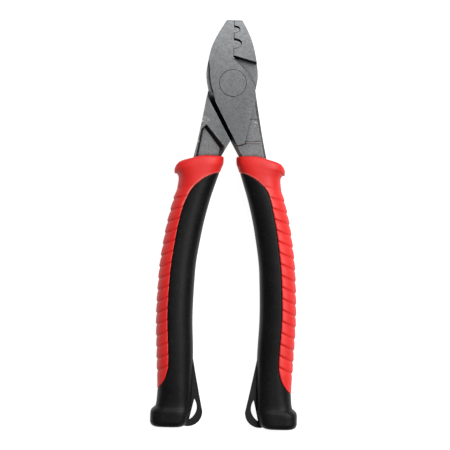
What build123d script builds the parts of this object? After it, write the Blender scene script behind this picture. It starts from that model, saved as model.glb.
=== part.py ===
from build123d import *
import math
import os

# Crimping pliers lying flat. Millimetres, +Z up, +Y from the pivot to the jaw tips.
# The origin is on the pivot axis, at the flat rear face of the joint. The jaws are shut.

# Head: two drop forgings that cross in a lap joint of two half-thickness plates.
HEAD_T = 10.0
MID_Z = HEAD_T / 2
LAP_PLAY = 0.06
JAW_TIP_Y = 27.8
JAW_TIP_W = 3.0
TIP_BEVEL = 0.7
TIP_ROUND = 1.6
TIP_CORNER = 1.1
JAW_GAP = 0.01
RELIEF_W = 0.14
RELIEF_T = 1.4
JAW_FACE_LOW_Y = 12.25
HUB_TOP_Y = 11.35
HUB_TOP_INSET = 0.4
HUB_BEVEL = 0.75
NECK_END_Y = -32.6

# The forgings and grips mirror about a line a little left of the pivot and the jaw faces.
AXIS_X = -0.45

# The wall across each jaw, where it drops from full thickness to its half-thickness hub.
SHOULDER_Y = 12.3
SHOULDER_SLOPE = math.tan(math.radians(15))
SHOULDER_DRAFT = 0.7
LAP_R = 12.5
LAP_TOP_Y = 16.0
LAP_WALL_GAP = 0.2

# Crimp dies as (middle along the jaw, half height, depth): oval nests in the right jaw, and
# on the left jaw the rounded teeth that swing down into them. Between two heights each tooth
# is full, and nearly fills its nest.
NESTS = [(17.55, 2.28, 3.60), (23.75, 1.66, 2.65)]
TEETH = [(17.12, 1.60, 3.22), (23.40, 1.10, 2.30)]
FULL_TOOTH_Z = (3.2, 6.8)
TOOTH_PLAY = 0.1

# Pivot rivet: flush disc head in front, shank, and a peened disc in the rear face.
RIVET_R = 5.9
RIVET_HEAD_T = 2.6
SHANK_R = 3.8
TAIL_R = 5.4
TAIL_T = 1.6
RUN_PLAY = 0.05
RIM_CHAMFER = 0.12
RIM_GAP = 0.17

# Tang, and the long arc that it and the grip follow.
ARC_R = 190.0
ARC_TOP = (22.85, -101.0)
TANG_HALF_W = 4.0
TANG_TOP_Y = -47.0
TANG_END_Y = -118.0
TANG_OUTER_Z = 9.3
TANG_LAP_Z = 0.4
POCKET_Z = 2.8

# Grips, as stations down the handle: (y, inner x, outer x, thickness, corner radius).
GRIP_STATIONS = [
    (-31.0, 3.4, 21.6, 16.6, 6.4),
    (-35.2, 2.9, 24.0, 17.3, 6.6),
    (-38.0, 3.9, 24.4, 17.3, 6.6),
    (-42.9, 5.5, 22.5, 15.8, 6.8),
    (-52.0, 8.4, 24.8, 15.5, 7.0),
    (-66.0, 11.6, 27.9, 15.5, 7.0),
    (-84.0, 14.1, 30.2, 15.8, 7.1),
    (-103.0, 14.7, 30.95, 16.0, 7.2),
    (-122.0, 14.05, 30.25, 15.6, 6.9),
    (-136.0, 14.2, 29.6, 15.4, 6.2),
    (-142.3, 14.6, 30.3, 15.8, 5.4),
    (-145.6, 14.9, 32.2, 17.3, 4.4),
    (-152.4, 16.4, 32.5, 17.3, 4.4),
]
GUARD_TOP = [(2.0, -32.4), (11.3, -32.5), (17.7, -34.0), (22.3, -35.4), (24.6, -37.8)]
SEAM_TOP = [(2.0, -38.9), (7.0, -40.2), (12.8, -43.3), (17.4, -48.5), (20.3, -57.0)]
SEAM_LONG = [(20.3, -57.0), (22.8, -70.0), (24.7, -86.0), (25.3, -101.5), (24.4, -124.4)]
SEAM_TAIL = [(24.4, -124.4), (25.5, -130.0), (28.3, -134.7), (31.5, -137.6)]
GRIP_SECTIONS = 31
LEAST_FLAT = 0.3
GRIP_T_MAX = 17.0

# Heel, as the plan of its lower end: inner and outer x, and the rounding at each side.
HEEL_BOTTOM_Y = -152.2
HEEL_IN_X = 15.9
HEEL_OUT_X = 32.5
HEEL_ROUND = 1.7
HEEL_OUT_R = 1.73
HEEL_IN_FOOT = 2.55
HEEL_IN_R = 2.72

# Inner sleeve of each grip, with the lanyard fin that runs out of its inner side.
SLEEVE_WALL = 1.9
SLEEVE_TOP_Y = -39.0
SLEEVE_END_Y = -146.0
SLEEVE_T = 11.0
SLEEVE_SECTIONS = 16
FIN_T = 3.6
FIN_EDGE = [(14.3, -121.5), (11.5, -135.8), (9.45, -145.6), (11.2, -149.9), (18.0, -151.6)]
FIN_ROOT = [(20.0, -140.0), (18.0, -121.5)]
SLOT_BACK = [(13.15, -139.8), (15.3, -149.2)]
SLOT_BELLY = (12.35, -145.6)

# Ribs down the red outer side of each grip. Their tilt grows over the first few, and their
# floor follows the grip's sections between two heights.
RIB_COUNT = 17
RIB_TOP_Y = -46.5
RIB_PITCH = 5.0
RIB_ARC = 8.0
RIB_LENGTH = 14.0
RIB_W = 0.7
RIB_DEPTH = 0.45
RIB_TILT = (14.0, 25.0)
RIB_TILT_RUN = 5
RIB_FLOOR_Y = (-38.5, -135.5)
RIB_SECTIONS = 24

# Past these bounds a cut has left the lever or the grip.
FAR_X = 40.0
FAR_Y = -130.0
NEAR_X = -5.0
NEAR_Y = -20.0


def arc_x(y, offset=0.0):
    """X of the grip's long arc at height y, or of the arc that runs offset outside it."""
    crown_x, crown_y = ARC_TOP
    return crown_x - ARC_R + math.sqrt((ARC_R + offset) ** 2 - (y - crown_y) ** 2)


def region(*edges):
    """The plan face inside a closed run of edges."""
    return make_face(Curve() + list(edges))


def polygon(*points):
    return make_face(Polyline(*points, close=True))


def slab(face, z0, z1):
    """The solid on a plan face, from z0 up to z1."""
    return Pos(0, 0, z0) * extrude(face, amount=z1 - z0)


def disc(radius, z0, z1):
    return Pos(0, 0, z0) * Cylinder(radius, z1 - z0, align=(Align.CENTER, Align.CENTER, Align.MIN))


def sloped_slab(low_face, high_face, z0, z1):
    """A solid with sloped sides, between two plan faces with matching edges."""
    return loft([Pos(0, 0, z0) * low_face, Pos(0, 0, z1) * high_face], ruled=True)


# ---- Levers. Each is drawn with its jaw on the left, its handle on the right and its outer
# face up, about the mirror line; px is the pivot and jaw face there. ----

INNER_HIGH = (-8.72, -9.33)
INNER_LOW = (4.15, NECK_END_Y)
HUB_BACK = [(-10.23, -3.85), (-11.43, 3.41), (-10.58, 10.2)]
JAW_BACK = (-9.75, 14.2)
JAW_SIDE = (-7.7, 20.0)
JAW_TIP_WAY = (4.2, 7.4)
NECK_OUTER_TOP = (10.2, -1.9)
NECK_OUTER = [(11.66, -10.05), (13.25, -19.0)]
NECK_OUTER_LOW = (16.1, NECK_END_Y)

# The neck's inner wall is drafted: its foot runs along the outline, and its top this far in,
# at the wall's high end and at its low end under the grip.
WALL_DRAFT = (2.2, 1.6)
WALL_TOP_Y = -4.1
WALL_TOP_WAY = (-0.4, 1.6)
WALL_OVERRUN = 1.2

# The neck's outer wall is drafted too: a steep band that starts at nothing below the hub.
SIDE_DRAFT = 1.4
SIDE_DRAFT_Z = 6.0
SIDE_TOP = (11.0, -3.4)
SIDE_LINE = [*NECK_OUTER, NECK_OUTER_LOW, (16.85, -36.0)]

# The bevel along the hub's edge runs to nothing at the neck. It leans this way in plan.
HUB_EDGE = [(4.9, 7.4), (8.5, 2.5)]
HUB_BEVEL_END = (10.7, -2.6)
HUB_BEVEL_WAY = (0.77, 0.64)
OVERCUT = 0.08

# The raised face of the hub stops short of the hub's back, and leaves a narrow ledge there.
LEDGE_Z = 8.4
LEDGE_DRAFT = 0.35
LEDGE_LINE = [(-10.9, 12.0), (-10.14, 4.94), (-9.43, -0.5), (-8.1, WALL_TOP_Y - 0.4)]

# Two sunk facets beside the neck's face, one above the other, out from the line between
# FACET_TOP and FACET_LOW. Each is the plane through three points, down to a height.
FACET_TOP = (10.95, -6.0)
FACET_LOW = (6.42, -26.3)
FACET_DRAFT = 0.3
FACETS = [
    ((10.95, -6.0, 9.9), (8.76, -15.8, 9.15), (12.4, -15.8, 8.85), -15.9),
    ((8.76, -15.8, 9.55), (6.42, -26.3, 9.05), (14.4, -25.2, 8.65), -25.6),
]

# A step across the neck leads down to the tang.
STEP_LINE = [(0.0, -28.0), (4.3, -27.1), (6.9, -26.2), (40.0, -24.6)]
STEP_DRAFT = 0.6

# Forged pocket in the neck's lap face, at its mouth and at its floor.
POCKET_MOUTH = [(10.6, -18.4), (2.5, -28.0), (2.5, -34.5), (15.7, -34.5), (13.1, -20.3)]
POCKET_FLOOR = [(11.8, -19.5), (4.7, -28.7), (5.8, -34.5), (14.7, -34.5), (12.2, -21.2)]


def tang_edges():
    """The tang's outline, from the neck's outer edge down and back up to its inner edge."""
    outer = [(arc_x(y, TANG_HALF_W), y) for y in (TANG_TOP_Y, -82.0, TANG_END_Y)]
    inner = [(arc_x(y, -TANG_HALF_W), y) for y in (TANG_END_Y, -82.0, TANG_TOP_Y)]
    end = (arc_x(TANG_END_Y), TANG_END_Y - TANG_HALF_W)
    return [
        Line(NECK_OUTER_LOW, outer[0]),
        ThreePointArc(*outer),
        ThreePointArc(outer[-1], end, inner[0]),
        ThreePointArc(*inner),
        Line(inner[-1], INNER_LOW),
    ]


def hub_top(px):
    """Where the hub's free edge starts, just under the jaw face."""
    return px - HUB_TOP_INSET, HUB_TOP_Y


def lever_outline(px):
    face_x = px - JAW_GAP
    tip_end = (px - JAW_TIP_W, JAW_TIP_Y)
    tip_side = (tip_end[0] - TIP_CORNER, tip_end[1] - TIP_CORNER)
    neck_run = Vector(*INNER_LOW) - Vector(*INNER_HIGH)
    return region(
        RadiusArc(tip_side, tip_end, TIP_ROUND),
        Line(tip_end, (face_x, JAW_TIP_Y)),
        Line((face_x, JAW_TIP_Y), (face_x, JAW_FACE_LOW_Y)),
        Line((face_x, JAW_FACE_LOW_Y), hub_top(px)),
        Spline(hub_top(px), *HUB_EDGE, NECK_OUTER_TOP),
        Spline(NECK_OUTER_TOP, *NECK_OUTER, NECK_OUTER_LOW),
        *tang_edges(),
        Line(INNER_LOW, INNER_HIGH),
        Spline(INNER_HIGH, *HUB_BACK, JAW_BACK, (JAW_SIDE[0] + px / 2, JAW_SIDE[1]), tip_side,
               tangents=[neck_run * -1, JAW_TIP_WAY]),
    )


def drafted_wall():
    """What the forging draft takes off the neck's inner side, above the lap plane."""
    run = Vector(*INNER_LOW) - Vector(*INNER_HIGH)
    high_draft, low_draft = WALL_DRAFT
    faces = []
    for rise in (0.0, WALL_OVERRUN):
        corner = Vector(*INNER_HIGH) + Vector(high_draft * rise, 0)
        low = Vector(*INNER_LOW) + run / 2 + Vector(low_draft * rise, 0)
        top = Vector(HUB_BACK[0][0] + high_draft * rise, WALL_TOP_Y)
        faces.append(region(
            Line(low, corner),
            Spline(corner, top, tangents=[corner - low, WALL_TOP_WAY]),
            Line(top, (-FAR_X, 0)),
            Line((-FAR_X, 0), (-FAR_X, low.Y)),
            Line((-FAR_X, low.Y), low),
        ))
    return sloped_slab(faces[0], faces[1], MID_Z, MID_Z * (1 + WALL_OVERRUN))


def beyond(line, far_x):
    """The plan region between a curve down the lever and a far x."""
    (top_x, top_y), (low_x, low_y) = line[0], line[-1]
    return region(
        Spline(*line),
        Line((low_x, low_y), (far_x, low_y)),
        Line((far_x, low_y), (far_x, top_y)),
        Line((far_x, top_y), (top_x, top_y)),
    )


def drafted_side():
    """What the draft takes off the neck's outer side, below the hub."""
    faces = []
    for width in (-OVERCUT, SIDE_DRAFT):
        line = [SIDE_TOP] + [(x - width, y) for x, y in SIDE_LINE]
        faces.append(beyond(line, FAR_X))
    return sloped_slab(faces[0], faces[1], SIDE_DRAFT_Z, HEAD_T)


def hub_bevel(px):
    """What the bevel along the hub's free edge takes off."""
    way_x, way_y = HUB_BEVEL_WAY
    faces = []
    for width in (-OVERCUT, HUB_BEVEL):
        line = [(x - width * way_x, y - width * way_y) for x, y in [hub_top(px), *HUB_EDGE]]
        faces.append(beyond([*line, HUB_BEVEL_END], FAR_X))
    return sloped_slab(faces[0], faces[1], HEAD_T - HUB_BEVEL, HEAD_T)


def ledge():
    """What leaves the narrow ledge behind the hub's raised face."""
    raised = [(x + LEDGE_DRAFT, y) for x, y in LEDGE_LINE]
    return sloped_slab(beyond(LEDGE_LINE, -FAR_X), beyond(raised, -FAR_X), LEDGE_Z, HEAD_T)


def lap_cut(px):
    """The room for the other lever at the joint: below this jaw's shoulder, within the
    joint's circle, or beyond the other lever's inner edge."""
    high = Vector(-INNER_HIGH[0] + LAP_WALL_GAP, INNER_HIGH[1])
    low = Vector(-INNER_LOW[0] + LAP_WALL_GAP, INNER_LOW[1])
    run = high - low
    above, below = high + run, low - run
    beyond = polygon((above.X, above.Y), (below.X, below.Y), (-FAR_X, below.Y), (-FAR_X, above.Y))
    hub = Pos(px, 0) * Circle(LAP_R) + polygon((px, 0), (FAR_X, 0), (FAR_X, LAP_TOP_Y),
                                               (px, LAP_TOP_Y))
    lap_z = MID_Z + LAP_PLAY / 2
    under = []
    for y in (SHOULDER_Y, SHOULDER_Y - SHOULDER_DRAFT):
        under.append(polygon((px - FAR_X, y - FAR_X * SHOULDER_SLOPE), (px, y), (px + FAR_X, y),
                             (px + FAR_X, FAR_Y), (px - FAR_X, FAR_Y)))
    return slab(beyond + hub, 0, lap_z) & sloped_slab(under[0], under[1], 0, lap_z)


def facets():
    """What the sunk facets take off beside the neck's face."""
    top, low = Vector(*FACET_TOP), Vector(*FACET_LOW)
    run = low - top
    cuts = []
    top_y = 0.0
    for a, b, c, low_y in FACETS:
        normal = (Vector(*b) - Vector(*a)).cross(Vector(*c) - Vector(*a))
        over = extrude(Plane(origin=b, z_dir=normal) * Rectangle(FAR_X, FAR_X), amount=HEAD_T)
        faces = []
        for rise in (-1.0, 1.0):
            shift = Vector(-FACET_DRAFT * (1 + rise) / 2, 0)
            head = top - run + shift
            foot = low + run + shift
            across = polygon((0, top_y), (FAR_X, top_y), (FAR_X, low_y - rise), (0, low_y - rise))
            faces.append(across & polygon((head.X, head.Y), (FAR_X, head.Y), (FAR_X, foot.Y),
                                          (foot.X, foot.Y)))
        cuts.append(over & sloped_slab(faces[0], faces[1], TANG_OUTER_Z - 1, TANG_OUTER_Z + 1))
        top_y = low_y
    return cuts


def outer_step():
    """The room above the tang, past the step across the neck's outer face."""
    faces = []
    for drop in (STEP_DRAFT, 0.0):
        line = [(x, y - drop) for x, y in STEP_LINE]
        faces.append(polygon(*line, (FAR_X, FAR_Y), (0, FAR_Y)))
    return sloped_slab(faces[0], faces[1], TANG_OUTER_Z, HEAD_T)


def pocket():
    return sloped_slab(polygon(*POCKET_MOUTH), polygon(*POCKET_FLOOR), 0, POCKET_Z)


def lap_step():
    """The room under the tang, from the pocket's end wall on."""
    head, foot = POCKET_MOUTH[:2]
    return slab(polygon(head, foot, (1, FAR_Y), (FAR_X, FAR_Y), (FAR_X, head[1])), 0, TANG_LAP_Z)


def tip_bevels():
    """Small bevels across the jaw's tip on both faces."""
    side = TIP_BEVEL * math.sqrt(2)
    bar = Rotation(45, 0, 0) * Box(FAR_X, side, side)
    return [Pos(0, JAW_TIP_Y, z) * bar for z in (0, HEAD_T)]


def face_relief(px):
    """The fine groove that the relieved jaw faces leave between them on both sides."""
    face = polygon((px - RELIEF_W, JAW_FACE_LOW_Y), (px, JAW_FACE_LOW_Y), (px, JAW_TIP_Y),
                   (px - RELIEF_W, JAW_TIP_Y))
    return [slab(face, 0, RELIEF_T), slab(face, HEAD_T - RELIEF_T, HEAD_T)]


def lever(px):
    body = slab(lever_outline(px), 0, HEAD_T)
    for cut in [drafted_wall(), drafted_side(), hub_bevel(px), ledge(), lap_cut(px), *facets(),
                outer_step(), pocket(), lap_step(), *tip_bevels(), *face_relief(px)]:
        body -= cut
    return body


def tooth(middle, half, depth, z0, z1):
    """Half an oval that stands out of the left jaw's face, rooted behind its relief."""
    root = Pos(FAR_X / 2 - 2 * RELIEF_W, 0) * Rectangle(FAR_X, FAR_X)
    return slab(Pos(0, middle) * (Ellipse(depth, half) & root), z0, z1)


def front_lever():
    body = Pos(AXIS_X, 0, 0) * lever(-AXIS_X)
    for middle, half, depth in TEETH:
        body += tooth(middle, half, depth, 0, HEAD_T)
    for middle, half, depth in NESTS:
        body += tooth(middle, half - TOOTH_PLAY, depth - TOOTH_PLAY, *FULL_TOOTH_Z)
    body -= disc(SHANK_R, 0, HEAD_T)
    body -= disc(RIVET_R + RIM_GAP, HEAD_T - RIVET_HEAD_T, HEAD_T)
    return body


def rear_lever():
    flipped = Pos(0, 0, HEAD_T) * (Rotation(0, 180, 0) * lever(AXIS_X))
    body = Pos(AXIS_X, 0, 0) * flipped
    for middle, half, depth in NESTS:
        body -= slab(Pos(JAW_GAP, middle) * Ellipse(depth, half), 0, HEAD_T)
    body -= disc(SHANK_R + RUN_PLAY, 0, HEAD_T)
    body -= disc(TAIL_R + RUN_PLAY, 0, TAIL_T + RUN_PLAY)
    return body


def pivot_rivet():
    """Turned about the pivot: flush head in the front lever, peened tail in the rear one."""
    profile = Polyline(
        (0, 0), (TAIL_R - RIM_CHAMFER, 0), (TAIL_R, RIM_CHAMFER), (TAIL_R, TAIL_T),
        (SHANK_R, TAIL_T), (SHANK_R, HEAD_T - RIVET_HEAD_T), (RIVET_R, HEAD_T - RIVET_HEAD_T),
        (RIVET_R, HEAD_T - RIM_CHAMFER), (RIVET_R - RIM_CHAMFER, HEAD_T), (0, HEAD_T), close=True)
    return revolve(make_face(Plane.XZ * profile), Axis.Z)


# ---- Grips. Drawn for the right handle about the mirror line, then mirrored. ----

def station_slope(index, k):
    """Slope of one station value along the handle, level at a crest so it never overshoots."""
    if index in (0, len(GRIP_STATIONS) - 1):
        return 0.0
    before, here, after = GRIP_STATIONS[index - 1:index + 2]
    fall = (here[k] - before[k]) / (here[0] - before[0])
    rise = (after[k] - here[k]) / (after[0] - here[0])
    return 2 * fall * rise / (fall + rise) if fall * rise > 0 else 0.0


def station(y):
    """Inner x, outer x, thickness and corner radius of the grip at height y."""
    index = sum(1 for row in GRIP_STATIONS[1:-1] if row[0] > y)
    a, b = GRIP_STATIONS[index], GRIP_STATIONS[index + 1]
    run = b[0] - a[0]
    t = (y - a[0]) / run
    values = []
    for k in range(1, 5):
        m0, m1 = station_slope(index, k) * run, station_slope(index + 1, k) * run
        blend = (2 * t ** 3 - 3 * t ** 2 + 1) * a[k] + (3 * t ** 2 - 2 * t ** 3) * b[k]
        values.append(blend + (t ** 3 - 2 * t ** 2 + t) * m0 + (t ** 3 - t ** 2) * m1)
    return values


def oval_body(top, bottom, count, shrink=0.0, thickness=None):
    """The grip's lofted body between two heights, or a body that runs inside it."""
    sections = []
    for i in range(count):
        y = top + (bottom - top) * i / (count - 1)
        inner, outer, t, corner = station(y)
        wide = outer - inner - 2 * shrink
        deep = thickness or t - 2 * shrink
        plane = Plane(origin=((inner + outer) / 2, y, MID_Z), x_dir=(1, 0, 0), z_dir=(0, 1, 0))
        radius = min(corner - shrink / 2, wide / 2 - LEAST_FLAT, deep / 2 - LEAST_FLAT)
        sections.append(plane * RectangleRounded(wide, deep, radius))
    return loft(sections)


def grip_envelope():
    """The whole grip: the lofted body, trimmed to the guard's sloping top, to the flats it
    lies on, and to the heel's rounded bottom edge."""
    left, right = GUARD_TOP[0], GUARD_TOP[-1]
    foot_in, foot_out = HEEL_IN_X + HEEL_IN_FOOT, HEEL_OUT_X - HEEL_ROUND
    shoulder_y = HEEL_BOTTOM_Y + HEEL_ROUND
    plan = region(
        Spline(*GUARD_TOP),
        Line(right, (FAR_X, right[1])),
        Line((FAR_X, right[1]), (FAR_X, shoulder_y)),
        Line((FAR_X, shoulder_y), (HEEL_OUT_X, shoulder_y)),
        RadiusArc((HEEL_OUT_X, shoulder_y), (foot_out, HEEL_BOTTOM_Y), HEEL_OUT_R),
        Line((foot_out, HEEL_BOTTOM_Y), (foot_in, HEEL_BOTTOM_Y)),
        RadiusArc((foot_in, HEEL_BOTTOM_Y), (HEEL_IN_X, shoulder_y), HEEL_IN_R),
        Line((HEEL_IN_X, shoulder_y), (NEAR_X, shoulder_y)),
        Line((NEAR_X, shoulder_y), (NEAR_X, left[1])),
        Line((NEAR_X, left[1]), left),
    )
    body = oval_body(GRIP_STATIONS[0][0], GRIP_STATIONS[-1][0], GRIP_SECTIONS)
    body &= slab(plan, MID_Z - GRIP_T_MAX / 2, MID_Z + GRIP_T_MAX / 2)
    side = RectangleRounded(2 * -HEEL_BOTTOM_Y, GRIP_T_MAX, HEEL_ROUND)
    return body & Pos(0, 0, MID_Z) * extrude(Plane.YZ * side, amount=FAR_X)


def red_region():
    """The plan of the red shell: the guard and the ribbed outer side, out from the seam."""
    start, end = SEAM_TOP[0], SEAM_TAIL[-1]
    return region(
        Spline(*SEAM_TOP),
        Spline(*SEAM_LONG),
        Spline(*SEAM_TAIL),
        Line(end, (FAR_X, end[1])),
        Line((FAR_X, end[1]), (FAR_X, NEAR_Y)),
        Line((FAR_X, NEAR_Y), (NEAR_X, NEAR_Y)),
        Line((NEAR_X, NEAR_Y), (NEAR_X, start[1])),
        Line((NEAR_X, start[1]), start),
    )


def rib_grooves():
    """Sloping grooves across the outer side, each a little steeper than the last."""
    grooves = []
    low, high = RIB_TILT
    for i in range(RIB_COUNT):
        y = RIB_TOP_Y - i * RIB_PITCH
        tilt = low + (high - low) * min(1.0, i / RIB_TILT_RUN)
        blade = Box(RIB_LENGTH, RIB_W, FAR_X)
        grooves.append(Pos(arc_x(y, RIB_ARC), y, MID_Z) * Rotation(0, 0, -tilt) * blade)
    under_skin = oval_body(*RIB_FLOOR_Y, RIB_SECTIONS, RIB_DEPTH)
    return [groove - under_skin for groove in grooves]


def fin():
    edge = FIN_EDGE
    outline = region(
        Spline(*edge[:3]),
        ThreePointArc(edge[2], edge[3], edge[4]),
        Line(edge[4], FIN_ROOT[0]),
        Line(*FIN_ROOT),
        Line(FIN_ROOT[1], edge[0]),
    )
    slot = region(Line(*SLOT_BACK), ThreePointArc(SLOT_BACK[1], SLOT_BELLY, SLOT_BACK[0]))
    return slab(outline - slot, MID_Z - FIN_T / 2, MID_Z + FIN_T / 2)


def grip_parts():
    """Sleeve, pad and shell for the handle on the right, before the tang is cut out."""
    envelope = grip_envelope()
    sleeve_core = oval_body(SLEEVE_TOP_Y, SLEEVE_END_Y, SLEEVE_SECTIONS, SLEEVE_WALL, SLEEVE_T)
    sleeve = sleeve_core + fin()
    red = slab(red_region(), -FAR_X, FAR_X)
    shell = envelope & red
    for groove in rib_grooves():
        shell -= groove
    shell -= sleeve
    pad = envelope - red - sleeve
    return {"grip_sleeve": sleeve, "grip_shell": shell, "grip_pad": pad}


def build():
    front, rear = front_lever(), rear_lever()
    parts = {"front_lever": front, "rear_lever": rear, "pivot_rivet": pivot_rivet()}
    for name, solid in grip_parts().items():
        parts[f"right_{name}"] = Pos(AXIS_X, 0, 0) * solid - front
        parts[f"left_{name}"] = Pos(AXIS_X, 0, 0) * mirror(solid, Plane.YZ) - rear
    return parts


os.makedirs("parts", exist_ok=True)
for name, shape in build().items():
    solids = shape.solids()
    print(name, len(solids), [round(s.volume, 1) for s in solids], shape.is_valid)
    export_step(shape, f"parts/{name}.step")
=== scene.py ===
import math

import bmesh
import bpy
import numpy as np
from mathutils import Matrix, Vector


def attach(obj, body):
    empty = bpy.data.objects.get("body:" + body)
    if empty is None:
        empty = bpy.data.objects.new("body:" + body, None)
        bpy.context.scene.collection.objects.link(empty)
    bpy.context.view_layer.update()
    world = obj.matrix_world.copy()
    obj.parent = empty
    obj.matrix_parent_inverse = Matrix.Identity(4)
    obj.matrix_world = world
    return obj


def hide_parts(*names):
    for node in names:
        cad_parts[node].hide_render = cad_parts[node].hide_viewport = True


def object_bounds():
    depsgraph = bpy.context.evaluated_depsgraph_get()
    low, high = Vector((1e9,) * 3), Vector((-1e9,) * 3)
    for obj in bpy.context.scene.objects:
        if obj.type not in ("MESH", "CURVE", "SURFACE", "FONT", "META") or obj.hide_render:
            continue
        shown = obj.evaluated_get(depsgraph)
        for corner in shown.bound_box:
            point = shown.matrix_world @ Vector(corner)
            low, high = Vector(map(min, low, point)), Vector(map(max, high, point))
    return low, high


# Looks for the crimping pliers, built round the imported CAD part. The tool lies flat on a pale
# floor with its jaws towards +Y, and the camera looks straight down on it.

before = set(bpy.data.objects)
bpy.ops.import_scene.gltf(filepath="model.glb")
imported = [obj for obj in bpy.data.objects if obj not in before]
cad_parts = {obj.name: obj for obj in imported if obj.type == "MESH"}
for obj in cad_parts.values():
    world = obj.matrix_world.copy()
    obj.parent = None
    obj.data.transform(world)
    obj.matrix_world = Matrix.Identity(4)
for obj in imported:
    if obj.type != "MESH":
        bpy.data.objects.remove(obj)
cad_low, cad_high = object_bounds()

MM = 0.001

# ---------------------------------------------------------------- small maths


def smooth_curve(xs, ys):
    """A monotone cubic through a few knots, for numpy arrays. xs may run either way."""
    order = np.argsort(xs)
    xs, ys = np.array(xs, float)[order], np.array(ys, float)[order]
    step, rise = np.diff(xs), np.diff(ys) / np.diff(xs)
    slope = np.zeros(len(xs))
    slope[0], slope[-1] = rise[0], rise[-1]
    same = rise[:-1] * rise[1:] > 0
    mean = 2 * rise[:-1] * rise[1:] / np.where(same, rise[:-1] + rise[1:], 1)
    slope[1:-1] = np.where(same, mean, 0)

    def at(x):
        x = np.asarray(x, float)
        i = np.clip(np.searchsorted(xs, x) - 1, 0, len(step) - 1)
        h = step[i]
        t = (x - xs[i]) / h
        inside = ((2 * t ** 3 - 3 * t ** 2 + 1) * ys[i] + (3 * t ** 2 - 2 * t ** 3) * ys[i + 1]
                  + ((t ** 3 - 2 * t ** 2 + t) * slope[i] + (t ** 3 - t ** 2) * slope[i + 1]) * h)
        below, above = ys[i] + slope[i] * (x - xs[i]), ys[i + 1] + slope[i + 1] * (x - xs[i + 1])
        return np.where(t < 0, below, np.where(t > 1, above, inside))

    return at


def ease(t):
    """0 up to t = 0, 1 from t = 1, with a smooth step between them."""
    t = np.clip(t, 0, 1)
    return t * t * (3 - 2 * t)


# ---------------------------------------------------------------- grip shape, millimetres

# The grips mirror about a line a little left of the pivot, and their middle is level with the
# middle of the joint, as in the CAD.
AXIS_X = -0.45
MID_Z = 5.0

# Stations down the right grip, from the guard's rim to the heel:
# (run, inner x, outer x, thickness, squareness of the oval).
STATIONS = [
    (-32.40, 3.10, 23.90, 15.0, 3.0),
    (-33.20, 2.85, 24.45, 15.9, 3.0),
    (-35.40, 2.95, 24.35, 16.2, 2.9),
    (-37.40, 3.70, 23.35, 16.0, 2.7),
    (-41.00, 4.95, 22.50, 15.6, 2.45),
    (-45.00, 6.25, 22.75, 15.4, 2.35),
    (-52.00, 8.40, 24.75, 15.4, 2.35),
    (-66.00, 11.60, 27.90, 15.5, 2.35),
    (-84.00, 14.10, 30.20, 15.7, 2.35),
    (-103.0, 14.70, 30.95, 15.9, 2.35),
    (-122.0, 14.05, 30.25, 15.6, 2.4),
    (-136.0, 14.20, 29.60, 15.4, 2.6),
    (-141.0, 14.45, 29.90, 15.4, 2.9),
    (-143.2, 14.60, 30.35, 15.6, 3.1),
    (-144.3, 14.80, 31.55, 16.3, 3.4),
    (-145.4, 14.95, 32.35, 16.9, 3.7),
    (-147.0, 15.20, 32.48, 17.0, 3.9),
    (-149.8, 15.90, 32.48, 17.0, 3.9),
    (-151.3, 16.90, 31.95, 16.3, 3.6),
    (-152.0, 18.20, 30.95, 14.8, 3.3),
]
STATION_RUNS, *STATION_COLUMNS = zip(*STATIONS)
RIM_RUN, FOOT_RUN = STATION_RUNS[0], STATION_RUNS[-1]
inner_x, outer_x, thickness, squareness = (
    smooth_curve(STATION_RUNS, column) for column in STATION_COLUMNS)

# The guard's rim slopes down towards the outer side, and the slope dies out below the guard.
GUARD_TOP_X = [2.0, 11.3, 17.7, 22.3, 24.6]
guard_top = smooth_curve(GUARD_TOP_X, [-32.4, -32.5, -34.0, -35.4, -37.8])
SLOPE_END_RUN = -46.0
SLOPE_POWER = 0.8

# The rim closes round the lever, and the heel closes underneath, in rings: (share of the end
# station's size, height from it).
RIM_RINGS = [(0.965, 0.0), (0.90, 0.32), (0.80, 0.42), (0.55, 0.40), (0.25, 0.40), (0.02, 0.40)]
FOOT_RINGS = [(0.93, -0.12), (0.85, -0.17), (0.5, -0.18), (0.02, -0.18)]

# The seam between the red shell and the black pad, as x by height. Below the guard it shifts
# a little inwards on the right grip and outwards on the left.
seam_x = smooth_curve(
    [-38.9, -40.2, -43.3, -48.5, -57.0, -70.0, -86.0, -101.5, -124.4, -130.0, -134.7, -137.6],
    [2.0, 7.0, 12.8, 17.4, 20.3, 22.8, 24.7, 25.3, 24.4, 25.5, 28.3, 31.5])
SEAM_TOP_Y, SEAM_TAIL_Y = -38.9, -137.7
SEAM_SHIFT_FADE = 12.0
SEAM_PROBE = 0.05

# Radius of the rolled edge along the seam: on the guard and the pad, and on the red strip. On
# the guard that edge carries a painted highlight, along a line at a set share of the radius away
# from the seam.
SEAM_LIP = 0.55
STRIP_LIP = 0.22
LIP_FADE = 10.0
LIP_HIGHLIGHT_AT = 0.7
LIP_HIGHLIGHT_W = 0.35
GUARD_LIP_END_Y = -58.0
LIP_HIGHLIGHT_FADE = 6.0

# The red stands proud of the oval, and the black lies below it except at the heel.
RED_PROUD = 0.10
BLACK_SUNK = 0.10
SUNK_END_Y = -135.0
SUNK_FADE = 8.0

# Ribs across the red outer side. RIB_DROP is the share of the pitch that the drop takes, and
# RIB_BASE the share of the height that lies under the smooth surface. The first rib fades in,
# and rib_tilt is how much a rib rises across the grip, by height.
RIB_PITCH = 5.05
RIB_TOP_Y = -46.9
RIB_END_Y = -131.5
RIB_END_FADE = 3.0
RIB_HEIGHT = 0.38
RIB_BASE = 0.6
RIB_RISE_POWER = 0.8
RIB_DROP = 0.24
RIB_CUT = 0.17
RIB_CUT_W = 0.55
FIRST_RIB_FADE, FIRST_RIB_LEAD = 0.6, 0.4
rib_tilt = smooth_curve([-130.0, -75.0, -55.0, -44.0], np.tan(np.radians([25, 24, 18, 12])))

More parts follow.
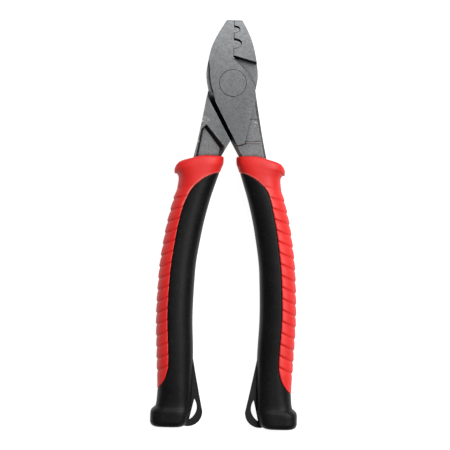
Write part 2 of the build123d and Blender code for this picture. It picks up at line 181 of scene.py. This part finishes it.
# Grid of the grip meshes. The pad's rows are finest at the guard and fine at the heel. Points
# nearer than MERGE_DISTANCE become one point.
GRID_COLS = 97
SHELL_STEP = 0.2
PAD_TOP_STEP, PAD_STEP, PAD_HEEL_STEP = 0.1, 0.5, 0.25
PAD_HEEL_RUN = -124.0
MERGE_DISTANCE = 0.002


def seam_at(y, side):
    """Seam x at height y. The red strip is a little wider on the right grip."""
    return seam_x(y) - side["seam_shift"] * ease((SLOPE_END_RUN - y) / SEAM_SHIFT_FADE)


def oval(run, theta, scale=1.0):
    """Points on the grip: theta is 0 on the outer side, pi/2 on the front, pi on the inner."""
    a, b = inner_x(run), outer_x(run)
    power = 2 / squareness(run)
    c, s = np.cos(theta), np.sin(theta)
    x = (a + b) / 2 + (b - a) / 2 * scale * np.sign(c) * np.abs(c) ** power
    z = MID_Z + thickness(run) / 2 * scale * np.sign(s) * np.abs(s) ** power
    slope = ease((run - SLOPE_END_RUN) / (RIM_RUN - SLOPE_END_RUN)) ** SLOPE_POWER
    y = run + (guard_top(np.clip(x, GUARD_TOP_X[0], GUARD_TOP_X[-1])) - RIM_RUN) * slope
    return np.stack([x, y, z], -1)


def seam_angle(run, side):
    """Angle on the front face where the seam crosses the oval at this run."""
    a, b = inner_x(run), outer_x(run)
    across = np.clip((seam_at(run, side) - (a + b) / 2) / ((b - a) / 2), -1, 1)
    c = np.sign(across) * np.abs(across) ** (squareness(run) / 2)
    return np.arccos(np.clip(c, -1, 1))


def seam_distance(p, side):
    """Distance in plan from points to the seam."""
    x, y = p[..., 0], p[..., 1]
    rise = seam_at(y + SEAM_PROBE, side) - seam_at(y - SEAM_PROBE, side)
    return np.abs((x - seam_at(y, side)) / np.sqrt(1 + (rise / (2 * SEAM_PROBE)) ** 2))


def lip(distance, radius):
    """How far a surface rolls down at a seam, as a quarter round."""
    d = np.clip(distance / radius, 0, 1)
    return -radius * (1 - np.sqrt(1 - (1 - d) ** 2))


def lip_highlight(distance, y):
    """How strong the painted highlight is along the guard's lip at the seam."""
    near = np.exp(-((distance - SEAM_LIP * LIP_HIGHLIGHT_AT) / LIP_HIGHLIGHT_W) ** 2)
    return near * ease((y - GUARD_LIP_END_Y) / LIP_HIGHLIGHT_FADE)


def ribs(x, y, run):
    """Height of the ribs: each swells slowly downwards, then drops off at a sharp cut."""
    level = y - rib_tilt(y) * (outer_x(run) - x)
    phase = (RIB_TOP_Y - level) / RIB_PITCH
    f = phase - np.floor(phase)
    swell = RIB_HEIGHT * np.minimum(f ** RIB_RISE_POWER, (1 - f) / RIB_DROP)
    near = np.minimum(f, 1 - f) * RIB_PITCH
    cut = -RIB_CUT * np.exp(-(near / RIB_CUT_W) ** 2)
    amount = (ease(phase / FIRST_RIB_FADE + FIRST_RIB_LEAD)
              * ease((level - RIB_END_Y) / RIB_END_FADE))
    return (swell - RIB_BASE * RIB_HEIGHT + cut) * amount


def steps(*spans):
    """Runs down the grip from (start, stop, step) spans, each height once, top first."""
    heights = np.concatenate([np.arange(start, stop, -step) for start, stop, step in spans])
    return np.unique(heights.round(3))[::-1]


def grid_normals(p):
    """Unit normals of a grid of points, pointing away from the grip's middle."""
    n = np.cross(np.gradient(p, axis=1), np.gradient(p, axis=0))
    n /= np.maximum(np.linalg.norm(n, axis=2, keepdims=True), 1e-9)
    return n


def rings(run, theta, sizes):
    """The rows that close an end of the grip, from (share of the size, height) pairs."""
    at = np.full(GRID_COLS, run)
    return np.array([oval(at, theta, scale) + np.array([0, rise, 0]) for scale, rise in sizes])


def make_mesh(name, points, side, material, rim):
    """A mesh from a grid of points on the right grip, mirrored for the left one. The rim
    attribute is 1 along the guard's seam, where a painted highlight lies on the lip, and 0 away
    from it."""
    rows, cols = points.shape[:2]
    faces = [(j * cols + i, j * cols + i + 1, (j + 1) * cols + i + 1, (j + 1) * cols + i)
             for j in range(rows - 1) for i in range(cols - 1)]
    p = points.reshape(-1, 3).copy()
    p[:, 0] = AXIS_X + side["sign"] * p[:, 0]
    if side["sign"] < 0:
        faces = [tuple(reversed(f)) for f in faces]
    mesh = bpy.data.meshes.new(name)
    mesh.from_pydata((p * MM).tolist(), [], faces)
    mesh.validate()
    mesh.materials.append(material)
    mesh.polygons.foreach_set("use_smooth", [True] * len(mesh.polygons))
    mesh.attributes.new("rim", "FLOAT", "POINT").data.foreach_set("value", rim.ravel())
    # The two ends of a row that goes all round meet, and a row at a tip is one point.
    shape = bmesh.new()
    shape.from_mesh(mesh)
    bmesh.ops.remove_doubles(shape, verts=shape.verts, dist=MERGE_DISTANCE * MM)
    bmesh.ops.dissolve_degenerate(shape, edges=shape.edges, dist=MERGE_DISTANCE * MM)
    shape.to_mesh(mesh)
    shape.free()
    mesh.update()
    piece = bpy.data.objects.new(name, mesh)
    bpy.context.scene.collection.objects.link(piece)
    return piece


def red_shell(side, material):
    """Guard and ribbed strip: all round at the guard, then the outer side down to the tail."""
    runs = steps((RIM_RUN, SEAM_TAIL_Y, SHELL_STEP))
    u = np.linspace(-1, 1, GRID_COLS)
    p = oval(np.repeat(runs[:, None], GRID_COLS, axis=1), seam_angle(runs, side)[:, None] * u)
    x, y = p[..., 0], p[..., 1]
    d = seam_distance(p, side)
    radius = STRIP_LIP + (SEAM_LIP - STRIP_LIP) * ease((y - GUARD_LIP_END_Y) / LIP_FADE)
    lift = RED_PROUD + lip(d, radius) + ribs(x, y, runs[:, None])
    top = rings(RIM_RUN, math.pi * u, RIM_RINGS[::-1])
    rows = np.concatenate([top, p + grid_normals(p) * lift[..., None]])
    # The rim values say where the painted highlight lies on the guard's lip.
    rim = np.concatenate([np.zeros(top.shape[:2]), lip_highlight(d, y)])
    return make_mesh(f"{side['name']}_grip_red", rows, side, material, rim)


def black_pad(side, material):
    """The black face and inner side, closing all round at the heel and under it."""
    runs = steps((SEAM_TOP_Y, SLOPE_END_RUN, PAD_TOP_STEP), (SLOPE_END_RUN, PAD_HEEL_RUN, PAD_STEP),
                 (PAD_HEEL_RUN, FOOT_RUN, PAD_HEEL_STEP), (FOOT_RUN, FOOT_RUN - 1, 1))
    angle = seam_angle(runs, side)
    has_width = angle < math.pi - 1e-4
    runs, angle = runs[has_width], angle[has_width]
    u = np.linspace(0, 1, GRID_COLS)
    theta = angle[:, None] + (2 * math.pi - 2 * angle)[:, None] * u
    p = oval(np.repeat(runs[:, None], GRID_COLS, axis=1), theta)
    sunk = BLACK_SUNK * ease((p[..., 1] - SUNK_END_Y) / SUNK_FADE)
    drop = lip(seam_distance(p, side), SEAM_LIP) - sunk
    foot = rings(FOOT_RUN, theta[-1], FOOT_RINGS)
    rows = np.concatenate([p + grid_normals(p) * drop[..., None], foot])
    return make_mesh(f"{side['name']}_grip_black", rows, side, material, np.zeros(rows.shape[:2]))


# ---------------------------------------------------------------- materials

# Where a wall turns into a flat face, as the size of the normal's Z. Where an edge begins and
# where it is full, as the cosine between the true normal and the rounded one.
WALL_TO_FLAT = (0.60, 0.68)
EDGE_TURN = (0.99, 0.88)

# Nearly all of a noise lies in this range.
NOISE_RANGE = (0.3, 0.7)


class Surface:
    """A node material on one principled shader, textured by object coordinates in metres."""

    def __init__(self, name):
        self.material = bpy.data.materials.new(name)
        self.material.use_nodes = True
        self.nodes = self.material.node_tree.nodes
        self.links = self.material.node_tree.links
        self.shader = self.nodes["Principled BSDF"]
        self.coords = self.nodes.new("ShaderNodeTexCoord")

    def put(self, node, key, value):
        """Sets an input to a number or colour, or links it to another node's output."""
        socket = node.inputs[key]
        if isinstance(value, bpy.types.NodeSocket):
            self.links.new(value, socket)
        else:
            socket.default_value = value

    def shade(self, **values):
        """Sets the shader's own inputs, by name."""
        for key, value in values.items():
            self.put(self.shader, key.replace("_", " "), value)

    def part_of(self, source, axis):
        """One part of the object coordinate, in metres, or of the object normal."""
        split = self.nodes.new("ShaderNodeSeparateXYZ")
        self.links.new(self.coords.outputs[source], split.inputs[0])
        return split.outputs[axis]

    def noise(self, scale, detail=3.0, rough=0.6, distortion=0.0):
        """Noise with scale cells in a metre."""
        tex = self.nodes.new("ShaderNodeTexNoise")
        self.links.new(self.coords.outputs["Object"], tex.inputs["Vector"])
        for key, value in (("Scale", scale), ("Detail", detail), ("Roughness", rough),
                           ("Distortion", distortion)):
            tex.inputs[key].default_value = value
        return tex.outputs["Fac"]

    def math(self, operation, a, b=0.0):
        node = self.nodes.new("ShaderNodeMath")
        node.operation = operation
        self.put(node, 0, a)
        self.put(node, 1, b)
        return node.outputs[0]

    def times(self, first, *others):
        """The product of values that vary over the surface."""
        for other in others:
            first = self.math("MULTIPLY", first, other)
        return first

    def remap(self, value, low, high, to_low=0.0, to_high=1.0, smooth=False):
        """A value's range from low to high, spread over to_low to to_high and held there."""
        node = self.nodes.new("ShaderNodeMapRange")
        node.interpolation_type = "SMOOTHSTEP" if smooth else "LINEAR"
        self.put(node, "Value", value)
        for key, number in (("From Min", low), ("From Max", high),
                            ("To Min", to_low), ("To Max", to_high)):
            node.inputs[key].default_value = number
        return node.outputs["Result"]

    def spread(self, noise, to_low=0.0, to_high=1.0):
        """A noise over a new range."""
        return self.remap(noise, *NOISE_RANGE, to_low, to_high)

    def band(self, value, middle, half):
        """1 where a value is at the middle, falling to 0 half away on each side."""
        return self.remap(self.math("ABSOLUTE", self.math("SUBTRACT", value, middle)), half, 0)

    def mix(self, amount, a, b):
        """From colour a at 0 to colour b at 1."""
        node = self.nodes.new("ShaderNodeMix")
        node.data_type = "RGBA"
        colours = [socket for socket in node.inputs if socket.type == "RGBA"]
        self.put(node, 0, amount)
        for socket, value in zip(colours, (a, b)):
            if isinstance(value, bpy.types.NodeSocket):
                self.links.new(value, socket)
            else:
                socket.default_value = (*value, 1)
        return [socket for socket in node.outputs if socket.type == "RGBA"][0]

    def bump(self, height, strength, distance):
        node = self.nodes.new("ShaderNodeBump")
        self.put(node, "Strength", strength)
        self.put(node, "Distance", distance)
        self.links.new(height, node.inputs["Height"])
        return node.outputs["Normal"]

    def flatness(self):
        """1 on faces that lie flat, 0 on the forged walls between them."""
        return self.remap(self.math("ABSOLUTE", self.part_of("Normal", "Z")), *WALL_TO_FLAT,
                          smooth=True)

    def edge(self, radius):
        """1 along convex and concave edges within a radius, 0 elsewhere."""
        rounded = self.nodes.new("ShaderNodeBevel")
        rounded.samples = 6
        rounded.inputs["Radius"].default_value = radius
        geometry = self.nodes.new("ShaderNodeNewGeometry")
        dot = self.nodes.new("ShaderNodeVectorMath")
        dot.operation = "DOT_PRODUCT"
        self.links.new(rounded.outputs["Normal"], dot.inputs[0])
        self.links.new(geometry.outputs["Normal"], dot.inputs[1])
        return self.remap(dot.outputs["Value"], *EDGE_TURN)

    def crevice(self, distance):
        """0 deep in gaps and corners, 1 on open surfaces."""
        node = self.nodes.new("ShaderNodeAmbientOcclusion")
        node.samples = 8
        node.inputs["Distance"].default_value = distance
        return node.outputs["AO"]


# Grey of the steel's ground faces, with painted light and shade: light at the jaw tips and
# dark at the neck as the light falls off, a little lighter again towards the guards as painted
# light, and lighter towards the outer edges. The same grey runs over the wall behind the hub as
# a painted highlight.
TIP_Y, NECK_Y, GUARD_Y = 28 * MM, -16 * MM, -33 * MM
TIP_GREY, NECK_GREY, GUARD_LIFT, OUTER_LIFT = 0.255, 0.118, 1.06, 1.28
CLIMB_POWER = 1.7
OUTER_X, OUTER_Y = (4.5 * MM, 9 * MM), (-6 * MM, -12 * MM)
HUB_WALL_LIT_UP, HUB_WALL_LIT_DOWN, HUB_WALL_LIT = (-9 * MM, -4 * MM), (6 * MM, 3 * MM), 0.8

# The steel's grain, the specks in it and its soft blotches, as arguments of noise, and how
# they change the grey: a factor by grain, a little added to it by specks, a factor by blotches.
STEEL_GRAIN, STEEL_SPECK, STEEL_BLOTCH = (3000, 2, 0.7), (1250, 3, 0.75), (170, 4, 0.6, 0.4)
GRAIN_TONE, SPECK_TONE, BLOTCH_TONE = (0.72, 1.28), (-0.30, 0.30), (0.92, 1.08)
STEEL_ROUGHNESS, STEEL_METALLIC = (0.44, 0.62), 0.45
STEEL_BUMP = (0.55, 0.05 * MM)

# Colours on the steel: a cool tint for the ground grey, near-black painted shade on the steep
# walls, painted shade in the gaps, pale edges that are partly wear and partly painted highlight,
# and painted highlights on the outer faces.
STEEL_TINT = {"Red": 0.975, "Green": 1.0, "Blue": 1.025}
WALL_SHADE_COLOURS = (0.010, 0.010, 0.011), (0.026, 0.026, 0.027)
GAP_SHADE = (0.012, 0.012, 0.013)
PALE_EDGE_WEAR_AND_HIGHLIGHT = (0.36, 0.365, 0.37)
PAINTED_HIGHLIGHT = (0.55, 0.555, 0.56)

# Where those colours lie. The painted wall shade is lighter on specks, and the painted gap shade
# ends where a place is open enough. The pale edges, partly wear and partly painted highlight, are
# patchy with the specks, only on open edges and faint at the tips.
# Ranges of two numbers go to 0 and 1, and ranges of four say what they go to.
WALL_SHADE_SPECKS = (0.35, 0.7)
GAP_REACH, GAP_SHADE_EXPOSURE = 1.6 * MM, (0.30, 0.94)
EDGE_RADIUS, EDGE_SPECKS = 0.36 * MM, (0.35, 0.6, 0.10, 0.9)
EDGE_EXPOSURE, EDGE_AT_TIP = (0.80, 0.95), 0.25

# Painted highlights, only on the outer faces: a streak along the step across the neck's outer
# face, which slopes a little, and a scatter of glints near the outer edges above it.
STREAK_Y, STREAK_HALF, STREAK_SLOPE = -26.70 * MM, 0.48 * MM, 0.048
STREAK_X, STREAK_SPECKS = (6.2 * MM, 7.2 * MM), (0.25, 0.55, 0.35, 1.0)
GLINTS_Y, GLINTS_HALF = -17.0 * MM, 2.4 * MM
GLINTS_X, GLINTS_SPECKS = (9.3 * MM, 11.3 * MM), (0.50, 0.62)
OUTER_FACE_Z = (3.9 * MM, 4.1 * MM)


def painted_highlights(s, height, across, speck):
    """Where painted highlights lie on the steel."""
    depth = s.math("ABSOLUTE", s.math("SUBTRACT", s.part_of("Object", "Z"), MID_Z * MM))
    level = s.math("SUBTRACT", height, s.times(across, STREAK_SLOPE))
    streak = s.times(s.band(level, STREAK_Y, STREAK_HALF), s.remap(across, *STREAK_X),
                     s.remap(speck, *STREAK_SPECKS))
    glints = s.times(s.band(height, GLINTS_Y, GLINTS_HALF), s.remap(across, *GLINTS_X),
                    s.remap(speck, *GLINTS_SPECKS))
    return s.times(s.math("MAXIMUM", streak, glints), s.remap(depth, *OUTER_FACE_Z))


def ground_grey(s, lift, height, across, tone):
    """Colour of the ground faces, by grain, with painted light and shade by height and lighter by
    distance from the middle.
    """
    # Painted light and shade: lighter towards the jaw tips, darker at the neck, lighter towards the
    # guards.
    climb = s.math("POWER", s.remap(height, NECK_Y, TIP_Y), CLIMB_POWER)
    near_outer_edges = s.times(s.remap(across, *OUTER_X), s.remap(height, *OUTER_Y))
    grey = s.times(s.remap(climb, 0, 1, NECK_GREY * lift, TIP_GREY * lift),
                   s.remap(height, NECK_Y, GUARD_Y, 1.0, GUARD_LIFT),
                   s.remap(near_outer_edges, 0, 1, 1.0, OUTER_LIFT), tone)
    combine = s.nodes.new("ShaderNodeCombineColor")
    for key, tint in STEEL_TINT.items():
        s.links.new(s.times(grey, tint), combine.inputs[key])
    return combine.outputs["Color"]


def steel_material(name, lift=1.0):
    """Matt grey steel: fine crystalline grain and soft blotches on the ground faces, painted light
    and shade down their length, near-black painted shade on the steep walls and in the gaps, pale
    edges that are partly wear and partly painted highlight, and painted highlights on the outer
    faces."""
    s = Surface(name)
    grain, speck, blotch = (s.noise(*kind) for kind in (STEEL_GRAIN, STEEL_SPECK, STEEL_BLOTCH))
    height, across = s.part_of("Object", "Y"), s.math("ABSOLUTE", s.part_of("Object", "X"))
    tone = s.math("ADD", s.spread(grain, *GRAIN_TONE), s.spread(speck, *SPECK_TONE))
    tone = s.times(tone, s.spread(blotch, *BLOTCH_TONE))
    # Painted highlight: the wall behind the hub keeps the ground grey instead of the wall shade.
    hub_wall_lit = s.times(s.remap(height, *HUB_WALL_LIT_UP),
                        s.remap(height, *HUB_WALL_LIT_DOWN, 0.0, HUB_WALL_LIT))
    # Painted shade: the steep walls turn near-black, a little lighter on specks.
    colour = s.mix(s.math("MAXIMUM", s.flatness(), hub_wall_lit),
                   s.mix(s.remap(speck, *WALL_SHADE_SPECKS), *WALL_SHADE_COLOURS),
                   ground_grey(s, lift, height, across, tone))
    exposed = s.crevice(GAP_REACH)
    # Painted shade: dark colour in gaps and corners.
    colour = s.mix(s.remap(exposed, *GAP_SHADE_EXPOSURE), GAP_SHADE, colour)
    # Pale edges: partly wear and partly painted highlight.
    edge = s.times(s.edge(EDGE_RADIUS), s.remap(speck, *EDGE_SPECKS),
                   s.remap(exposed, *EDGE_EXPOSURE),
                   s.remap(height, TIP_Y, NECK_Y, EDGE_AT_TIP, 1.0))
    colour = s.mix(edge, colour, PALE_EDGE_WEAR_AND_HIGHLIGHT)
    # Painted highlights: a streak and a scatter of glints on the outer faces.
    colour = s.mix(painted_highlights(s, height, across, speck), colour, PAINTED_HIGHLIGHT)
    s.shade(Base_Color=colour, Roughness=s.spread(grain, *STEEL_ROUGHNESS),
            Metallic=STEEL_METALLIC, Normal=s.bump(grain, *STEEL_BUMP))
    return s.material


# The elastomers' slow colour drift, the patches of the painted highlight on the lip and the flecks,
# as arguments of noise, and how much of the highlight and of the flecks they let through.
RUBBER_DRIFT, LIP_HIGHLIGHT_PATCHES, FLECKS = (75, 4, 0.55), (420, 3), (900, 4, 0.8)
LIP_HIGHLIGHT_SHOWN, FLECKS_SHOWN = (0.3, 0.65, 0.25, 0.75), (0.56, 0.72)

# In gaps RUBBER_GAP_DARK of the dark colour takes over as painted shade, and RUBBER_EXPOSURE
# says how much of the true colour is left. DUST is how far the grain's high spots go to the light
# colour.
RUBBER_GAP_REACH, RUBBER_GAP_DARK = 1.2 * MM, 0.3
RUBBER_EXPOSURE = (0.2, 0.8, 0.45, 1.0)
DUST = (0.35, 0.75, 0.0, 0.10)

# The roughness goes up and down by this much with the grain and with the drift.
ROUGH_BY_GRAIN, ROUGH_BY_DRIFT = 0.05, 0.03
RUBBER_BUMP = (0.30, 0.03 * MM)


def rubber_material(name, dark, light, roughness, grain_size, specular, lip_highlight_colour=None, fleck=None):
    """Moulded elastomer: soft colour drift, a fine spark-eroded grain, painted shade in gaps, and
    where they are given, a painted highlight of one colour along the seam's lip and flecks of
    another."""
    s = Surface(name)
    grain = s.noise(grain_size, 2, 0.5)
    drift = s.noise(*RUBBER_DRIFT)
    colour = s.mix(s.spread(drift), dark, light)
    dusty = s.mix(s.remap(grain, *DUST), colour, light)
    # Painted shade: the colour darkens in gaps and corners.
    exposed = s.remap(s.crevice(RUBBER_GAP_REACH), *RUBBER_EXPOSURE)
    colour = s.mix(exposed, tuple(RUBBER_GAP_DARK * c for c in dark), dusty)
    if lip_highlight_colour:
        # Painted highlight along the guard's lip at the seam.
        along = s.nodes.new("ShaderNodeAttribute")
        along.attribute_name = "rim"
        patchy = s.remap(s.noise(*LIP_HIGHLIGHT_PATCHES), *LIP_HIGHLIGHT_SHOWN)
        colour = s.mix(s.times(along.outputs["Fac"], patchy), colour, lip_highlight_colour)
    if fleck:
        colour = s.mix(s.remap(s.noise(*FLECKS), *FLECKS_SHOWN), colour, fleck)
    rough = s.math(
        "ADD", s.spread(grain, roughness - ROUGH_BY_GRAIN, roughness + ROUGH_BY_GRAIN),
        s.spread(drift, -ROUGH_BY_DRIFT, ROUGH_BY_DRIFT))
    s.shade(Base_Color=colour, Roughness=rough, Specular_IOR_Level=specular,
            Normal=s.bump(grain, *RUBBER_BUMP))
    return s.material


steel = steel_material("phosphated_steel")
rivet_steel = steel_material("rivet_steel", 1.03)
# The red's lip colour is a painted highlight.
red = rubber_material(
    "red_elastomer", (0.67, 0.014, 0.012), (0.76, 0.020, 0.016),
    roughness=0.54, grain_size=2400, specular=0.42, lip_highlight_colour=(0.80, 0.20, 0.18))
black = rubber_material(
    "black_elastomer", (0.0042, 0.0042, 0.0045), (0.0068, 0.0068, 0.0072),
    roughness=0.46, grain_size=2400, specular=0.14, fleck=(0.020, 0.020, 0.020))
sleeve_black = rubber_material(
    "black_sleeve", (0.005, 0.005, 0.0053), (0.009, 0.009, 0.0095),
    roughness=0.5, grain_size=3000, specular=0.25, fleck=(0.024, 0.024, 0.024))

# ---------------------------------------------------------------- pieces

SIDES = [
    {"name": "left", "sign": -1, "body": "rear_half", "seam_shift": -0.6},
    {"name": "right", "sign": 1, "body": "front_half", "seam_shift": 0.6},
]
for side in SIDES:
    shell = red_shell(side, red)
    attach(shell, side["body"])
    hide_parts(f"{side['name']}_grip_shell")
    pad = black_pad(side, black)
    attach(pad, side["body"])
    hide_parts(f"{side['name']}_grip_pad")

EDGE_ANGLE_DEG = 32


def dress_cad(node, material, bevel_width):
    """Gives a CAD node its material, smooth curved faces and slightly broken edges."""
    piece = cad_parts[node]
    piece.data.materials.clear()
    piece.data.materials.append(material)
    bevel = piece.modifiers.new("edge_break", "BEVEL")
    bevel.width = bevel_width
    bevel.segments = 2
    bevel.limit_method = "ANGLE"
    bevel.angle_limit = math.radians(EDGE_ANGLE_DEG)
    bevel.harden_normals = True
    bevel.use_clamp_overlap = True


dress_cad("front_lever", steel, 0.14 * MM)
dress_cad("rear_lever", steel, 0.14 * MM)
dress_cad("pivot_rivet", rivet_steel, 0.08 * MM)
dress_cad("left_grip_sleeve", sleeve_black, 0.4 * MM)
dress_cad("right_grip_sleeve", sleeve_black, 0.4 * MM)

# ---------------------------------------------------------------- floor, light, camera

HALF_FLOOR = 3.0
FLOOR_GAP = 0.1 * MM
FLOOR_COLOURS = (0.28, 0.28, 0.28), (0.32, 0.32, 0.32)
FLOOR_GLOW = 0.96
FLOOR_FIBRES = 900

floor_mesh = bpy.data.meshes.new("floor")
corners = [(-HALF_FLOOR, -HALF_FLOOR), (HALF_FLOOR, -HALF_FLOOR),
           (HALF_FLOOR, HALF_FLOOR), (-HALF_FLOOR, HALF_FLOOR)]
floor_mesh.from_pydata([(x, y, cad_low.z - FLOOR_GAP) for x, y in corners], [], [(0, 1, 2, 3)])
floor = bpy.data.objects.new("floor", floor_mesh)
bpy.context.scene.collection.objects.link(floor)
paper = Surface("pale_floor")
paper.shade(Base_Color=paper.mix(paper.spread(paper.noise(FLOOR_FIBRES)), *FLOOR_COLOURS),
            Roughness=0.9, Specular_IOR_Level=0.0,
            Emission_Color=(1, 1, 1, 1), Emission_Strength=FLOOR_GLOW)
floor_mesh.materials.append(paper.material)

ROOM_COLOUR, ROOM_STRENGTH = (0.95, 0.97, 1.0, 1), 0.06

world = bpy.data.worlds.new("soft_room")
world.use_nodes = True
background = world.node_tree.nodes["Background"]
background.inputs["Color"].default_value = ROOM_COLOUR
background.inputs["Strength"].default_value = ROOM_STRENGTH
bpy.context.scene.world = world

LIGHT_AIM = Vector((0, -0.06, 0))


def soft_light(name, place, size, power):
    """A soft box aimed at the middle of the tool: place and size in metres, power in watts."""
    data = bpy.data.lights.new(name, "AREA")
    data.shape = "RECTANGLE"
    data.size, data.size_y = size
    data.energy = power
    lamp = bpy.data.objects.new(name, data)
    bpy.context.scene.collection.objects.link(lamp)
    lamp.location = place
    lamp.rotation_mode = "QUATERNION"
    lamp.rotation_quaternion = (LIGHT_AIM - Vector(place)).to_track_quat("-Z", "Y")


soft_light("key", (0.40, 0.16, 0.80), (0.38, 0.45), 8.1)
soft_light("top", (0.10, 0.60, 0.75), (0.6, 0.4), 3.5)
soft_light("fill", (-0.7, 0.2, 0.7), (0.6, 0.6), 0.2)

# The camera looks straight down on the middle of the tool from 0.8 m above its front faces.
# The frame is as wide there as the photograph's, and the tool leans in it as it does there.
AIM = (-1.95 * MM, -62.6 * MM)
PLANE_Z = 8.0 * MM
CAMERA_HEIGHT = 0.80
FRAME_WIDTH = 198.7 * MM
TOOL_LEAN_DEG = 1.45
SENSOR_WIDTH = 36

camera_data = bpy.data.cameras.new("camera")
camera_data.sensor_width = SENSOR_WIDTH
camera_data.lens = SENSOR_WIDTH * CAMERA_HEIGHT / FRAME_WIDTH
camera = bpy.data.objects.new("camera", camera_data)
bpy.context.scene.collection.objects.link(camera)
camera.location = (*AIM, PLANE_Z + CAMERA_HEIGHT)
camera.rotation_euler = (0, 0, math.radians(TOOL_LEAN_DEG))
bpy.context.scene.camera = camera
bpy.context.scene.view_settings.view_transform = "Standard"
